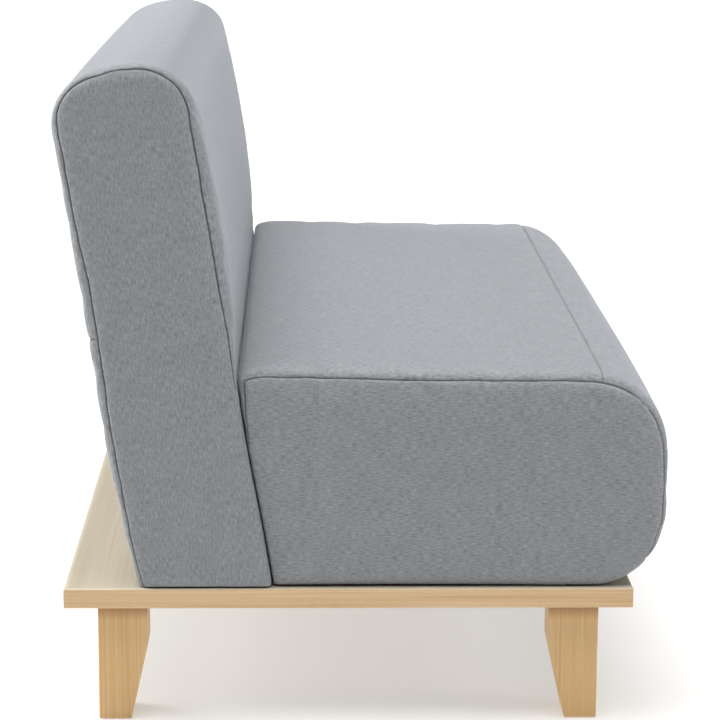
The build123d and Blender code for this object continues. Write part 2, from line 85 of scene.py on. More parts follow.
camera = bpy.data.objects.new("camera", bpy.data.cameras.new("camera"))
bpy.context.collection.objects.link(camera)
camera.data.lens = CAMERA_LENS
camera.data.sensor_width = SENSOR_WIDTH
camera.data.clip_end = 500  # past the far corners of the floor
turn = Matrix((right, upward, -ahead)).transposed()
camera.matrix_world = Matrix.Translation(CAMERA_PLACE) @ turn.to_4x4()
bpy.context.scene.camera = camera
print("camera", round(CAMERA_PLACE.length, 2), "m from the middle of the floor under the sofa")

# %% [markdown]
# ## Colours and nodes
# Colours are picked from swatches as sRGB hex values, but a shader works with linear light, so one
# function turns the one into the other. A second function adds a node: it takes the node's type,
# what goes into its sockets (a value, another node, or one of its outputs) and its settings.


# %% Helpers for materials
COLOUR_A, COLOUR_B = 6, 7  # a Mix node's sockets for colours, which share names with others


def linear(hex_colour):
    """An sRGB hex value as the linear colour that a shader works with."""
    channels = [int(hex_colour[i:i + 2], 16) / 255 for i in (1, 3, 5)]
    light = [c / 12.92 if c <= 0.04045 else ((c + 0.055) / 1.055) ** 2.4 for c in channels]
    return (*light, 1)


def add_node(material, kind, inputs, **settings):
    """Adds a node; inputs are values, nodes or their outputs, and settings are its own."""
    node = material.node_tree.nodes.new(kind)
    for name, value in settings.items():
        setattr(node, name, value)
    for socket, value in inputs.items():
        if isinstance(value, bpy.types.Node):
            value = next(output for output in value.outputs if output.enabled)
        if isinstance(value, bpy.types.NodeSocket):
            material.node_tree.links.new(value, node.inputs[socket])
        else:
            node.inputs[socket].default_value = value
    return node


def new_material(name, **sockets):
    """A material whose Principled shader has these values; _ stands for a space in a name."""
    material = bpy.data.materials.new(name)
    material.use_nodes = True
    shader = material.node_tree.nodes["Principled BSDF"]
    for socket, value in sockets.items():
        shader.inputs[socket.replace("_", " ")].default_value = value
    return material


def finish_material(material, colour, relief, strength, depth, roughness=None):
    """Turns relief into a bump, and links the last node of each chain to the shader."""
    bump = add_node(
        material, "ShaderNodeBump", {"Strength": strength, "Distance": depth, "Height": relief}
    )
    shader = material.node_tree.nodes["Principled BSDF"]
    links = material.node_tree.links
    links.new(colour.outputs["Result"], shader.inputs["Base Color"])
    links.new(bump.outputs["Normal"], shader.inputs["Normal"])
    if roughness is not None:
        links.new(roughness.outputs[0], shader.inputs["Roughness"])


def blend_colours(material, share, first, second):
    """Mixes two colours. Each is a hex value or another blend."""
    ends = [
        linear(end) if isinstance(end, str) else end.outputs["Result"] for end in (first, second)
    ]
    return add_node(
        material,
        "ShaderNodeMix",
        {"Factor": share, COLOUR_A: ends[0], COLOUR_B: ends[1]},
        data_type="RGBA",
        clamp_factor=True,
    )


def stretched_noise(material, place, size, detail=2.0):
    """Noise whose blobs have that size in metres along each axis of place."""
    scaled = add_node(
        material,
        "ShaderNodeVectorMath",
        {0: place, 1: [1 / length for length in size]},
        operation="MULTIPLY",
    )
    return add_node(
        material, "ShaderNodeTexNoise", {"Vector": scaled, "Scale": 1, "Detail": detail}
    )


def weighted_sum(material, start, terms):
    """start plus each node's value times its weight."""
    total = start
    for node, weight in terms:
        total = add_node(
            material, "ShaderNodeMath", {0: node, 1: weight, 2: total}, operation="MULTIPLY_ADD"
        )
    return total


# %% [markdown]
# ## Heathered cloth
# The cover is a plain weave of polyester, spun from dark and light fibres. Up close each thread
# changes tone every centimetre or so, which gives the cloth faint streaks along its main threads.
# The weave and the streaks follow the cloth round the cushion, so the material reads a UV map that
# is in metres: U runs across the main threads and V along them. A real thread is about 0.8 mm wide.
# Here it is drawn 1.5 mm wide, so that the weave shows from a few metres away. Loose fibre ends
# catch light at a grazing angle, and a little sheen stands for them. The eye gets a matt surface
# with a soft bright edge. The attribute seam darkens the colour where two panels meet.

# %% Cloth material
THREAD = 1.5 * MM
STREAK_LENGTH = 8 * MM
STREAK_WIDTH = 1.5 * MM
CLOUD_SIZE = 30 * MM  # slow changes of tone across a panel
WEAVE_DEPTH = 0.3 * MM


def make_cloth(name, dark, light, seam_shade):
    material = new_material(
        name,
        Roughness=0.92,
        Sheen_Weight=0.4,
        Sheen_Roughness=0.3,
        Sheen_Tint=linear("#e0e4ee"),
        Specular_IOR_Level=0.2,
    )
    uv = add_node(material, "ShaderNodeUVMap", {}, uv_map="Cloth")
    main_streaks = stretched_noise(material, uv, (STREAK_WIDTH, STREAK_LENGTH, 1))
    cross_streaks = stretched_noise(material, uv, (STREAK_LENGTH, STREAK_WIDTH, 1))
    cloud = stretched_noise(material, uv, (CLOUD_SIZE, CLOUD_SIZE, 1), detail=3)
    tone = weighted_sum(
        material, -0.5, [(main_streaks, 1.25), (cross_streaks, 0.55), (cloud, 0.2)]
    )
    heather = blend_colours(material, tone, dark, light)
    seam = add_node(material, "ShaderNodeAttribute", {}, attribute_name="seam")
    colour = blend_colours(material, seam.outputs["Fac"], heather, seam_shade)

    split = add_node(material, "ShaderNodeSeparateXYZ", {0: uv})
    waves = []
    for axis in ("X", "Y"):
        turned = add_node(
            material,
            "ShaderNodeMath",
            {0: split.outputs[axis], 1: pi / THREAD},
            operation="MULTIPLY",
        )
        waves.append(add_node(material, "ShaderNodeMath", {0: turned}, operation="SINE"))
    weave = add_node(material, "ShaderNodeMath", {0: waves[0], 1: waves[1]}, operation="MULTIPLY")
    relief = weighted_sum(material, 0, [(weave, 0.4), (main_streaks, 0.9), (cross_streaks, 0.6)])
    finish_material(material, colour, relief, 0.5, WEAVE_DEPTH)
    return material


cloth = make_cloth("woven_heathered_polyester", "#6c6e71", "#a7aaad", "#28292b")
print("cloth threads drawn", THREAD / MM, "mm wide, streaks", STREAK_LENGTH / MM, "mm long")

# %% [markdown]
# ## Ash
# The deck's edges and the legs are solid ash, and its top is ash veneer, all under a clear satin
# lacquer. Ash is pale and straight-grained: soft bands a few millimetres wide run the long way of
# each piece, and open pores draw fine darker dashes along them. Each piece is cut with its grain
# along its length, so the material is made once for each direction. It reads Object coordinates,
# so the grain runs right through the wood and an end shows it cut across. A second tone can take
# over towards a piece's top. The edge strips' top faces take the veneer's pale grey tone, partly as
# the veneer's own colour and partly as painted reflection: the pale glare of a lacquered top seen
# at a grazing angle. The legs turn darker and warmer close under the deck, which is painted shade:
# the shadow that the deck's overhang casts on their tops.

# %% Wood material
RING_WIDTH = 2.8 * MM
RING_LENGTH = 300 * MM
PORE_WIDTH = 0.6 * MM  # real pores are about 0.3 mm wide
PORE_LENGTH = 14 * MM
PORE_RANGE = (0.56, 0.74)  # the part of the noise that is drawn as a pore
BOARD_BAND = 34 * MM  # wide slow bands, as from board to board
LACQUER = {"Coat_Roughness": 0.38, "Coat_IOR": 1.5}
GRAIN_DEPTH = 0.12 * MM


def along_grain(axis, length, width):
    """A size that is length along the grain's axis and width across it."""
    return [length if letter == axis else width for letter in "xyz"]


def make_wood(name, axis, pale, dark, contrast, coat=0.25, upper=None):
    """Wood with its grain along axis. upper is (height where a second tone starts to blend in,
    height where it has taken over, that tone)."""
    material = new_material(name, IOR=1.5, Coat_Weight=coat, Roughness=0.5, **LACQUER)
    place = add_node(material, "ShaderNodeTexCoord", {}).outputs["Object"]
    rings = stretched_noise(material, place, along_grain(axis, RING_LENGTH, RING_WIDTH), detail=3)
    pores = stretched_noise(material, place, along_grain(axis, PORE_LENGTH, PORE_WIDTH), detail=1)
    drift = stretched_noise(material, place, along_grain(axis, 2 * RING_LENGTH, BOARD_BAND))
    fine_pores = add_node(
        material,
        "ShaderNodeMapRange",
        {"Value": pores, "From Min": PORE_RANGE[0], "From Max": PORE_RANGE[1]},
    )
    tone = weighted_sum(
        material,
        0.42 - 1.05 * contrast,
        [(rings, 1.2 * contrast), (drift, 0.9 * contrast), (fine_pores, 0.25 * contrast)],
    )
    colour = blend_colours(material, tone, pale, dark)
    if upper is not None:
        start, full, upper_tone = upper
        height = add_node(material, "ShaderNodeSeparateXYZ", {0: place}).outputs["Z"]
        share = add_node(
            material, "ShaderNodeMapRange", {"Value": height, "From Min": start, "From Max": full}
        )
        colour = blend_colours(material, share, colour, upper_tone)
    roughness = weighted_sum(material, 0.4, [(rings, 0.15), (fine_pores, 0.1)])
    relief = weighted_sum(material, 0, [(rings, 0.3), (fine_pores, -0.7)])
    finish_material(material, colour, relief, 0.25, GRAIN_DEPTH, roughness)
    return material


def dress_nodes(material, *names):
    """Gives CAD nodes their finish."""
    for name in names:
        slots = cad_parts[name].data.materials
        slots.clear()
        slots.append(material)


# %% Dress the deck and the legs
ASH_PALE, ASH_DARK = "#e6ca9f", "#c59a66"
LEG_PALE, LEG_DARK = "#eac68f", "#c69657"
# The veneer's pale grey tone is partly its own colour and partly painted reflection, the glare of
# its lacquered top at a grazing angle.
VENEER_AND_GLARE_PALE, VENEER_AND_GLARE_DARK = "#c7beab", "#ae9f87"
# Painted reflection in part: the edge strips' top faces blend into that same pale tone.
VENEER_AND_PAINTED_GLARE_TOP = (deck_top - 1.2 * MM, deck_top - 0.2 * MM, VENEER_AND_GLARE_PALE)
# Painted shade: the legs darken over their top 22 mm, standing for the shadow under the deck.
PAINTED_SHADE_UNDER_DECK = (deck_bottom - 22 * MM, deck_bottom, "#8a5210")
dress_nodes(
    make_wood("lacquered_ash_along_y", "y", ASH_PALE, ASH_DARK, 1, upper=VENEER_AND_PAINTED_GLARE_TOP),
    "deck_lipping_left",
    "deck_lipping_right",
)
dress_nodes(
    make_wood("lacquered_ash_along_x", "x", ASH_PALE, ASH_DARK, 1, upper=VENEER_AND_PAINTED_GLARE_TOP),
    "deck_lipping_front",
    "deck_lipping_rear",
)
dress_nodes(make_wood("ash_veneer_and_painted_glare", "x", VENEER_AND_GLARE_PALE, VENEER_AND_GLARE_DARK, 0.7), "deck_core")
dress_nodes(
    make_wood("lacquered_ash_upright", "z", LEG_PALE, LEG_DARK, 1, upper=PAINTED_SHADE_UNDER_DECK),
    "leg_front_left",
    "leg_front_right",
    "leg_rear_left",
    "leg_rear_right",
)
print("solid ash: 4 edge strips and 4 legs; ash veneer: the deck's board")

# %% [markdown]
# ## Hidden wood
# Inside the cushions are frames of planed pine, which has wide soft bands between darker lines and
# no lacquer. The dowels that stop the legs turning are plain beech, with fine short flecks.

# %% Pine and beech
PINE_PALE, PINE_DARK = "#ecd2a2", "#c99c5f"
dress_nodes(
    make_wood("planed_pine_along_x", "x", PINE_PALE, PINE_DARK, 1.4, 0),
    "seat_rail_front",
    "seat_rail_rear",
    "back_rail_bottom",
    "back_rail_top",
)
dress_nodes(
    make_wood("planed_pine_along_y", "y", PINE_PALE, PINE_DARK, 1.4, 0),
    "seat_rail_left",
    "seat_rail_right",
    "seat_rail_middle",
)
dress_nodes(
    make_wood("planed_pine_upright", "z", PINE_PALE, PINE_DARK, 1.4, 0),
    "back_stile_left",
    "back_stile_right",
    "back_stile_middle",
    "seat_corner_blocks",
)
dress_nodes(make_wood("turned_beech", "z", "#dcb78a", "#b98a58", 0.8, 0), "leg_dowels")
print("pine: 10 frame pieces and the corner blocks; beech: the dowels")

# %% [markdown]
# ## Pressed, matted and woven fibres
# Hardboard is wood fibre pressed to a smooth brown sheet, and felt is wool fibre matted together.
# Neither has a direction: both are a mottle of short fibres, one nearly smooth and one rough. The
# elastic webbing inside the cushions is rubber thread bound with black yarn, and at this size it
# shows as a coarse dark mottle, so the same function serves for all three.


# %% Hardboard, felt and webbing
def make_fibre(name, dark, light, fibre, rough, depth):
    """fibre is the fibres' width as drawn, and depth is how deep the surface is between them."""
    material = new_material(name, Roughness=rough, Specular_IOR_Level=0.3)
    place = add_node(material, "ShaderNodeTexCoord", {}).outputs["Object"]
    short = stretched_noise(material, place, (3 * fibre, fibre, fibre), detail=3)
    crossing = stretched_noise(material, place, (fibre, 3 * fibre, 2 * fibre), detail=3)
    tone = weighted_sum(material, -0.55, [(short, 1.1), (crossing, 1.1)])
    colour = blend_colours(material, tone, dark, light)
    finish_material(material, colour, tone, 0.6, depth)
    return material


dress_nodes(
    make_fibre("pressed_hardboard", "#5d4029", "#8a6546", 1.2 * MM, 0.55, 0.1 * MM),
    "back_board",
)
dress_nodes(
    make_fibre("wool_felt", "#4d4944", "#76706a", 0.8 * MM, 0.95, 0.4 * MM),
    "foot_pads",
)
dress_nodes(
    make_fibre("elastic_webbing", "#1d1d1f", "#47484b", 1.6 * MM, 0.8, 0.3 * MM),
    "seat_webbing",
    "back_webbing",
)
print("finished: hardboard, felt, webbing")

# %% [markdown]
# ## Plated steel
# Bolts and screws are steel with a thin zinc plating, which is cool grey and a little cloudy, and
# the threaded inserts are passivated to a yellowish tint. A metal's colour is its reflection, so
# only its base colour and its roughness vary, and its IOR keeps the default.


# %% Steel
ZINC_CLOUD = 2.5 * MM
SCRATCH_LENGTH = 4 * MM
SCRATCH_WIDTH = 0.4 * MM
SCRATCH_DEPTH = 0.05 * MM


def make_plated_steel(name, dull, bright):
    material = new_material(name, Metallic=1, Roughness=0.4)
    place = add_node(material, "ShaderNodeTexCoord", {}).outputs["Object"]
    cloud = stretched_noise(material, place, [ZINC_CLOUD] * 3, detail=4)
    scratches = stretched_noise(
        material, place, (SCRATCH_LENGTH, SCRATCH_WIDTH, SCRATCH_LENGTH)
    )
    roughness = weighted_sum(material, 0.2, [(cloud, 0.25), (scratches, 0.1)])
    colour = blend_colours(material, cloud, dull, bright)
    finish_material(material, colour, scratches, 0.2, SCRATCH_DEPTH, roughness)
    return material


dress_nodes(
    make_plated_steel("zinc_plated_steel", "#9b9ea4", "#d3d6db"),
    "leg_bolts",
    "seat_bolts",
    "back_bolts",
    "seat_frame_screws",
    "back_frame_screws",
)
dress_nodes(
    make_plated_steel("yellow_zinc_plated_steel", "#a3977a", "#d9cfa8"),
    "leg_inserts",
    "seat_inserts",
    "back_inserts",
)
print("zinc-plated: bolts and screws; yellow zinc: inserts")

# %% [markdown]
# ## Lining
# Under a cushion, where nobody sees it, the cover is a thin black cloth of bonded fibres. It is a
# matted fibre too. Every finish is made now, so this cell also lists the nodes that have none. The
# layers of the cushions are left out, because new cushions take their place.

# %% Lining material
lining = make_fibre("bonded_black_lining", "#161617", "#333336", 1 * MM, 0.9, 0.15 * MM)
CUSHION_LAYERS = ("_cover_", "_foam_", "_wadding")
bare = [
    name
    for name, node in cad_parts.items()
    if not any(layer in name for layer in CUSHION_LAYERS)
    and not node.data.materials[0].use_nodes
]
print("nodes still without a finish:", bare)

# %% [markdown]
# ## A cushion's blank
# Each cushion starts as a flat outline seen from the sofa's end: four corners, each rounded by a
# vertex bevel, with the straight sides cut into even steps. A grid fill turns the outline into a
# patch of four-sided faces, and extrusions along the sofa, row by row, turn the patch into a closed
# block. Only four-sided faces of like size bend evenly in a cloth simulation. The first step makes
# the outline. Outlines are written as (y, z), the plane that is seen from the sofa's end.


# %% Outline of a cushion
def nearest(verts, point):
    """The vertex that lies closest to a (y, z) point."""
    return min(verts, key=lambda vert: (vert.co.yz - point).length)


def walk(start, first, stop):
    """The edges from start to stop along a closed loop of loose edges, setting out over first."""
    edges = [first]
    vert = first.other_vert(start)
    while vert != stop:
        edges.append(next(edge for edge in vert.link_edges if edge != edges[-1]))
        vert = edges[-1].other_vert(vert)
    return edges


def outline_loop(bm, corners, steps):
    """A closed loop at X = 0. Each corner is (place, radius, steps round it); steps has one number
    for each straight side, which starts at the corner of the same index."""
    bm.faces.new([bm.verts.new((0, *place)) for place, _, _ in corners])
    for place, radius, arc_steps in corners:
        bmesh.ops.bevel(
            bm,
            geom=[nearest(bm.verts, place)],
            offset=radius,
            affect="VERTICES",
            segments=arc_steps,
            profile=0.5,
            material=-1,
        )
    bmesh.ops.delete(bm, geom=bm.faces[:], context="FACES_ONLY")
    for i, side_steps in enumerate(steps):
        middle = (corners[i][0] + corners[(i + 1) % len(corners)][0]) / 2
        straight = min(
            bm.edges,
            key=lambda edge: ((edge.verts[0].co.yz + edge.verts[1].co.yz) / 2 - middle).length,
        )
        bmesh.ops.subdivide_edges(bm, edges=[straight], cuts=side_steps - 1)
    return [nearest(bm.verts, place) for place, _, _ in corners]


# %% [markdown]
# ## What each point of the outline knows
# Every later step moves points outwards, or measures cloth round the cushion. So each point of the
# loop stores its outward direction and how far round the outline it lies, in two layers of the mesh.
# A stored value survives extrusions, so nothing is worked out twice.


# %% Mark the outline
def mark_loop(bm, outward, along):
    """Writes each loop point's outward direction and its distance round; returns the girth."""
    start = min(bm.verts, key=lambda vert: vert.co.z)
    loop = [start]
    edge = start.link_edges[0]
    while edge.other_vert(loop[-1]) != start:
        loop.append(edge.other_vert(loop[-1]))
        edge = next(other for other in loop[-1].link_edges if other != edge)
    middle = sum((vert.co for vert in loop), Vector()) / len(loop)
    travelled = 0.0
    for i, vert in enumerate(loop):
        before = loop[i - 1].co
        after = loop[(i + 1) % len(loop)].co
        tangent = (after - before).normalized()
        normal = Vector((0, tangent.z, -tangent.y))
        if normal.dot(vert.co - middle) < 0:
            normal.negate()
        vert[outward] = normal
        vert[along] = travelled
        travelled += (after - vert.co).length
    return travelled


# %% [markdown]
# ## From outline to block
# The ends of a cushion need rows that lie close together, because that is where the cloth rolls
# over into the seam. The rows come from one short extrusion after another. Cuts through a long block
# would give the same shape, but number its points in another order each run, and the order decides
# which way the cloth buckles in the simulation. The edges and faces are sorted for the same reason.
# Edges that will be sewn are marked as seams now, as the mark survives every later step. The block
# also gets its UV map here, while each side is still flat and easy to measure: the long band that
# goes round the cushion is measured round the girth, and an end panel is measured across its face.

# %% Block
TINY = 1e-6  # lengths in metres that only differ by rounding
ROW_STEP = 11 * MM
ROLL_ROWS = [row * MM for row in (2.5, 6, 10.5, 16, 24)]  # distances from the end seam


def extrude_rows(bm, half_length):
    """Extrudes the patch from one end to the other, evenly in the middle and in close rows beside
    both end seams."""
    inner = half_length - ROLL_ROWS[-1]
    count = round(2 * inner / ROW_STEP)
    rows = [-inner + 2 * inner * i / count for i in range(count + 1)]
    rows += [side * (half_length - row) for side in (-1, 1) for row in ROLL_ROWS[:-1]]
    bmesh.ops.translate(bm, verts=bm.verts, vec=(-half_length, 0, 0))
    near_end = front = bm.faces[:]
    for x in sorted(rows) + [half_length]:
        made = bmesh.ops.extrude_face_region(bm, geom=front, use_keep_orig=True)["geom"]
        if front is not near_end:  # the last front would be a wall inside the block
            bmesh.ops.delete(bm, geom=front, context="FACES_KEEP_BOUNDARY")
        front = [item for item in made if isinstance(item, bmesh.types.BMFace)]
        for item in made:
            if isinstance(item, bmesh.types.BMVert):
                item.co.x = x


def settle_order(bm):
    """Sorts the edges and faces by the numbers of their points, so each run has the same order."""
    bm.verts.index_update()
    base = len(bm.verts)

    def rank(item):
        first, second, third = (sorted(vert.index for vert in item.verts) + [0])[:3]
        return (first * base + second) * base + third

    bm.edges.sort(key=rank)
    bm.faces.sort(key=rank)


def mark_seams(bm, outward, half_length, sewn_places):
    """Marks both end seams, and the lines that run along the cushion through sewn_places."""
    for edge in bm.edges:
        a, b = edge.verts
        lengthwise = abs(a.co.x - b.co.x) > TINY
        at_end = not lengthwise and abs(abs(a.co.x) - half_length) < TINY
        on_band = all(vert[outward].length > 0.5 for vert in edge.verts)
        sewn = lengthwise and any((a.co.yz - place).length < 10 * TINY for place in sewn_places)
        edge.seam = (at_end and on_band) or sewn


def map_cloth(bm, along, girth, thread):
    """UVs in metres. thread is the (y, z) direction of an end panel's main threads."""
    uv = bm.loops.layers.uv.new("Cloth")
    across = Vector((-thread.y, thread.x))
    for face in bm.faces:
        at_end = abs(face.normal.x) > 0.9
        furthest = max(loop.vert[along] for loop in face.loops)
        for loop in face.loops:
            vert = loop.vert
            wrapped = girth if furthest - vert[along] > girth / 2 else 0.0
            if at_end:
                loop[uv].uv = (vert.co.yz.dot(across), vert.co.yz.dot(thread))
            else:
                loop[uv].uv = (vert.co.x, vert[along] + wrapped)


# %% [markdown]
# ## The whole blank
# One function runs these steps for either cushion. Before the grid fill it moves each loop point a
# little, by a function that each cushion brings along, because the end seam of a sewn cushion isn't
# as straight as its pattern. That move is stored too.


# %% Blank
def make_blank(name, corners, steps, half_length, end_push, sewn_points, thread):
    """A closed block of cushion. end_push says how far a loop point is moved outwards first."""
    bm = bmesh.new()
    outward = bm.verts.layers.float_vector.new("outward")
    along = bm.verts.layers.float.new("along")
    pushed = bm.verts.layers.float.new("pushed")
    turns = outline_loop(bm, corners, steps)
    girth = mark_loop(bm, outward, along)
    for vert in bm.verts:
        vert[pushed] = end_push(vert.co, vert[outward])
        vert.co += vert[outward] * vert[pushed]
    sewn_places = [nearest(bm.verts, point).co.yz.copy() for point in sewn_points]
    facing_sides = []
    for start, stop in ((turns[0], turns[1]), (turns[2], turns[3])):
        runs = [walk(start, first, stop) for first in start.link_edges]
        facing_sides += min(runs, key=len)
    bmesh.ops.grid_fill(bm, edges=facing_sides)
    for vert in bm.verts:
        if not vert.is_boundary:
            vert[outward] = Vector()

    extrude_rows(bm, half_length)
    settle_order(bm)
    bmesh.ops.recalc_face_normals(bm, faces=bm.faces)
    mark_seams(bm, outward, half_length, sewn_places)
    map_cloth(bm, along, girth, thread)
    print(name, "blank:", len(bm.verts), "points,", len(bm.faces), "faces, girth", round(girth, 3))
    return bm, outward, pushed


# %% [markdown]
# ## Where the back leans
# The back cushion leans, and the seat cushion's rear side with it. Both are easier to describe along
# that lean than in Y and Z, so a few functions turn one into the other: up is the distance up the
# back's rear side from its foot, and forward is the distance out from that side.

# %% The back's lean
LEAN = radians(9.5)
LEAN_UP = Vector((sin(LEAN), cos(LEAN)))  # up the back's lean, as (y, z)
LEAN_FORWARD = Vector((-cos(LEAN), sin(LEAN)))  # out of the back's front face
BACK_FOOT = Vector((deck_rear - 97 * MM, deck_top))
BACK_THICKNESS = 157 * MM
HOLLOW_DEPTH = 2 * MM


def lean_place(up, forward):
    """The (y, z) place so far up the lean and so far forwards."""
    return BACK_FOOT + LEAN_UP * up + LEAN_FORWARD * forward


def lean_at(forward, height):
    """The place at that height on a line that leans with the back."""
    up = (height - deck_top - forward * sin(LEAN)) / cos(LEAN)
    return lean_place(up, forward)


def back_place(place):
    """How far up the lean and how far forwards a point lies."""
    from_foot = place.yz - BACK_FOOT
    return from_foot.dot(LEAN_UP), from_foot.dot(LEAN_FORWARD)


def between(value, low=0.0, high=1.0):
    """The value, kept within these limits."""
    return min(max(value, low), high)


def hump(value, middle, reach):
    """1 at the middle, falling smoothly to 0 at that reach on either side."""
    share = min(abs(value - middle) / reach, 1.0)
    return 0.5 + 0.5 * cos(pi * share)


def hollow_at(up):
    """How far the back cushion's front is dented where the seat cushion leans on it."""
    return HOLLOW_DEPTH * hump(up, 0.16, 0.13)


print("the back leans", round(LEAN * 180 / pi, 1), "degrees and is", BACK_THICKNESS / MM, "mm thick")

# %% [markdown]
# ## The seat's end seam
# The seam round an end panel nearly follows a rounded box, but sewing and stuffing pull it off that
# line by a few millimetres. Along the top it rises behind the middle, dips towards the front and
# droops into the rear corner. Along the deck it sags where the foam presses it down and lifts where
# it doesn't. The rear side follows the back cushion and leaves it near the top. Each of these is a
# smooth hump with a height, a place and a reach. Depth is measured forwards from the deck's rear.

# %% Seat cushion's end seam
SEAT_HALF = 590 * MM
SEAT_TOP = 436 * MM  # the end seam's height; the top stands proud of it
SEAT_FOOT = 177.8 * MM
SEAT_FRONT = deck_rear - 735.5 * MM
SEAT_REAR_FOOT = 159.5 * MM  # from the back cushion's rear side, forwards
SEAT_REAR_TOP = 167 * MM
SEAT_REAR_TURN = 350 * MM  # the height where the rear side starts to leave the back cushion
SEAT_LEAVING = 75 * MM  # and the height over which it does so
TOP_RADIUS = 100 * MM
FOOT_RADIUS = 92 * MM
DROOP = 7 * MM  # of the top seam, into the rear corner


def seat_top_push(depth):
    rise = 2.5 * MM * hump(depth, 0.24, 0.2)
    dip = 2 * MM * hump(depth, 0.58, 0.2)
    droop = DROOP * max(0.0, 1 - (depth - 0.218) / 0.022) ** 1.5
    return rise - dip - droop


def seat_foot_push(depth):
    front_sag = 1.85 * MM * hump(depth, 0.6435, 0.1)
    rear_sag = 2.4 * MM * hump(depth, 0.165, 0.04)
    lift = 1.2 * MM * hump(depth, 0.4, 0.2)
    return front_sag + rear_sag - lift


def seat_rear_push(place):
    up, forward = back_place(place)
    leaving = between((place.z - SEAT_REAR_TURN) / SEAT_LEAVING) ** 1.5
    wanted = SEAT_REAR_FOOT + (SEAT_REAR_TOP - SEAT_REAR_FOOT) * leaving
    return forward - wanted + hollow_at(up)


def seat_end_push(place, outward):
    """How far the end seam lies outside the plain outline."""
    depth = deck_rear - place.y
    if outward.z > 0.7:
        return seat_top_push(depth)
    if outward.z < -0.995:
        return seat_foot_push(depth)
    if outward.y > 0.9:
        return seat_rear_push(place)
    if outward.z < 0 and outward.y < 0:
        belly = 2.4 * MM * hump(-outward.z, 0.9, 0.32)
        return belly - 1.5 * MM * hump(-outward.z, 0.28, 0.25)
    return 0.0


# %% [markdown]
# ## How full the seat is
# A sewn cushion is tightest at its seams and fuller everywhere else. So each point of the band moves
# outwards by how full the cushion is there, which falls to nothing at the end seams. The seat's top
# is crowned, and its front is a big soft roll, fullest between the two. Each side's part is weighed
# by how squarely a point faces that way, so the parts run into each other without a step. The rear
# side swells until it almost meets the back cushion.

# %% Fullness of the seat cushion
ROLL_WIDTH = 15 * MM  # how far in from an end seam the cloth rolls over
TIGHT_ROLL = 8  # at the rear the cloth turns over at once
GAP = 1.6 * MM  # between the seat and back cushions
END_ZONE = 20 * MM  # near an end, the cushions part a little sooner
TOP_FULLNESS = 9 * MM
TOP_CROWN = 3 * MM  # more than that in the middle of the seat
FRONT_FULLNESS = 4.5 * MM
FRONT_CROWN = 1.5 * MM
FOOT_FULLNESS = 2.5 * MM


def roll_at(x, half_length, tightness=2.4):
    """0 at an end seam, and 1 where the cloth has rolled over; tighter cloth turns over sooner."""
    share = max(0.0, (abs(x) - half_length) / ROLL_WIDTH + 1)
    return (1 - min(share, 1.0) ** tightness) ** 0.6


def seat_fullness(vert, outward, pushed):
    """How far the band lies outside its end seam."""
    x = vert.co.x
    up, down = max(outward.z, 0.0) ** 2, max(-outward.z, 0.0) ** 2
    forward, back = max(-outward.y, 0.0) ** 2, max(outward.y, 0.0) ** 2
    crown = 1 - (x / SEAT_HALF) ** 2
    depth = deck_rear - vert.co.y
    arch = max(0.0, 1 - ((depth - 0.42) / 0.23) ** 2)
    front_roll = 6.5 - 4 * (x / SEAT_HALF) ** 6
    soft = (
        up * (TOP_FULLNESS + TOP_CROWN * crown * arch)
        + forward * (FRONT_FULLNESS + FRONT_CROWN * crown)
        + down * (FOOT_FULLNESS - pushed)
        + 4 * up * forward * front_roll * MM
        + 4 * down * forward * MM
    )
    lean_up, lean_forward = back_place(vert.co)
    swell = back * (lean_forward - BACK_THICKNESS + hollow_at(lean_up) - GAP)
    return roll_at(x, SEAT_HALF) * soft + roll_at(x, SEAT_HALF, TIGHT_ROLL) * swell


def seat_pressed(vert, outward):
    """Where the cover is pressed flat, against the deck or against the back cushion."""
    at_end = SEAT_HALF - abs(vert.co.x) < END_ZONE
    reach = 12 * MM if at_end else 95 * MM
    return outward.z < -0.75 or (outward.y > 0.3 and vert.co.z < SEAT_REAR_TURN + reach)


# %% [markdown]
# ## The seat's blank
# Four corners give the outline, from the rear foot round by the front: each has a radius and a
# number of steps round it. Two seams run along the seat, one where its top panel meets the front
# panel and one low down at the front. Points about 10 mm apart are enough, because the finished
# piece is smoothed once more.

# %% Seat cushion's blank
seat_corners = [
    (lean_at(SEAT_REAR_FOOT, SEAT_FOOT), 3 * MM, 2),
    (Vector((SEAT_FRONT, SEAT_FOOT)), FOOT_RADIUS, 16),
    (Vector((SEAT_FRONT, SEAT_TOP)), TOP_RADIUS, 22),
    (lean_at(SEAT_REAR_TOP, SEAT_TOP), 7 * MM, 4),
]
SEAT_SIDE_STEPS = [44, 8, 40, 24]  # underside, front, top, rear
seat_seams = [
    Vector((SEAT_FRONT + 78.8 * MM, SEAT_TOP - 2.3 * MM)),
    Vector((SEAT_FRONT + 20.9 * MM, SEAT_FOOT + 33.6 * MM)),
]
seat_mesh, seat_outward, seat_pushed = make_blank(
    "seat_cushion",
    seat_corners,
    SEAT_SIDE_STEPS,
    SEAT_HALF,
    seat_end_push,
    seat_seams,
    Vector((1, 0)),
)

# %% [markdown]
# ## The back's end seam
# The back's end panel is a tall leaning shape with a domed top. Its seam bulges out at the rear near
# the foot, is drawn in a little above the line that is sewn across the rear, and is dented at the
# front where the seat cushion leans on it.

# %% Back cushion's end seam
BACK_HALF = 596 * MM
BACK_SHOULDER = 620 * MM  # up the lean to where the domed top starts
BACK_FOOT_HEIGHT = 176.3 * MM
BACK_FOOT_DEPTH = 156 * MM
BACK_SEAM_HEIGHT = 485 * MM  # the line sewn across the rear, above the floor
DOME = 6.5 * MM
REAR_BULGE = 3.4 * MM
REAR_TUCK = 2.5 * MM


